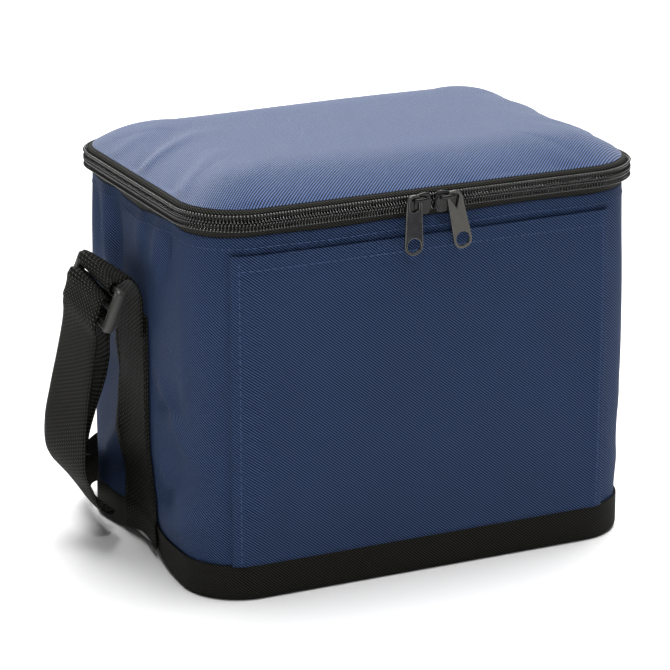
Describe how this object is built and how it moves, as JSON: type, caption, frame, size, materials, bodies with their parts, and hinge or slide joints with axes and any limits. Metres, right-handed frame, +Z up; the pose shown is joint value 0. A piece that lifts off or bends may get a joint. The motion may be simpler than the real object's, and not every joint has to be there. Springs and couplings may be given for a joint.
{
  "type": "insulated cooler bag",
  "caption": "Small soft-sided insulated cooler bag: foam walls, zip-round lid hinged at the back, flat front pocket and an adjustable webbing shoulder strap.",
  "frame": {"origin": "middle of the base, on the surface that the bag stands on", "axes": "+Z up, -Y the front with the pocket and zip pulls, -X the side with the strap's adjuster"},
  "size_m": [0.2709, 0.3351, 0.184],
  "materials": {
    "navy_cloth": "coated polyester oxford cloth, matt with a slight sheen",
    "black_cloth": "coated polyester cloth, matt",
    "zip_tape": "woven polyester tape",
    "zip_teeth": "nylon coil, glossy",
    "webbing": "woven polypropylene webbing",
    "slider_metal": "gunmetal paint",
    "glide_plastic": "moulded nylon",
    "foam": "closed-cell foam sheet",
    "foil": "foil-faced film",
    "board": "extruded sheet"
  },
  "bodies": {
    "bag": {"wall_cloth": "navy_cloth", "wall_foam": "foam", "liner": "foil", "base_panel": "black_cloth", "base_band": "black_cloth", "base_board": "board", "base_foam": "foam", "front_pocket": "navy_cloth", "lower_zip_tape": "zip_tape", "lower_zip_coil": "zip_teeth", "zip_end_stops": "zip_teeth", "hinge_strip_lower": "black_cloth", "strap_anchor_left": "webbing", "strap_anchor_right": "webbing"},
    "lid": {"lid_cover": "navy_cloth", "lid_foam": "foam", "lid_liner": "foil", "upper_zip_tape": "zip_tape", "upper_zip_coil": "zip_teeth", "hinge_strip_upper": "black_cloth"},
    "left_slider": {"slider_left": "slider_metal"},
    "left_pull": {"pull_left": "slider_metal"},
    "right_slider": {"slider_right": "slider_metal"},
    "right_pull": {"pull_right": "slider_metal"},
    "strap": {"strap_loop": "webbing", "tri_glide": "glide_plastic", "shoulder_strap": "webbing"}
  },
  "joints": [
    {"name": "lid_hinge", "type": "hinge", "parent": "bag", "child": "lid", "pos_m": [0, 0.0785, 0.1702], "axis": [-1, 0, 0], "range_deg": [0, 120]},
    {"name": "left_zip_slide", "type": "slide", "parent": "bag", "child": "left_slider", "axis": [-1, 0, 0], "range_m": [0, 0.065]},
    {"name": "right_zip_slide", "type": "slide", "parent": "bag", "child": "right_slider", "axis": [1, 0, 0], "range_m": [0, 0.068]},
    {"name": "left_pull_swing", "type": "hinge", "parent": "left_slider", "child": "left_pull", "pos_m": [-0.0111, -0.0805, 0.1724], "axis": [0, 1, 0], "range_deg": [-15, 90]},
    {"name": "right_pull_swing", "type": "hinge", "parent": "right_slider", "child": "right_pull", "pos_m": [0.0081, -0.0805, 0.1724], "axis": [0, -1, 0], "range_deg": [-15, 82]},
    {"name": "strap_swing", "type": "hinge", "parent": "bag", "child": "strap", "pos_m": [0, 0.006, 0.11], "axis": [1, 0, 0], "range_deg": [0, 110]}
  ]
}
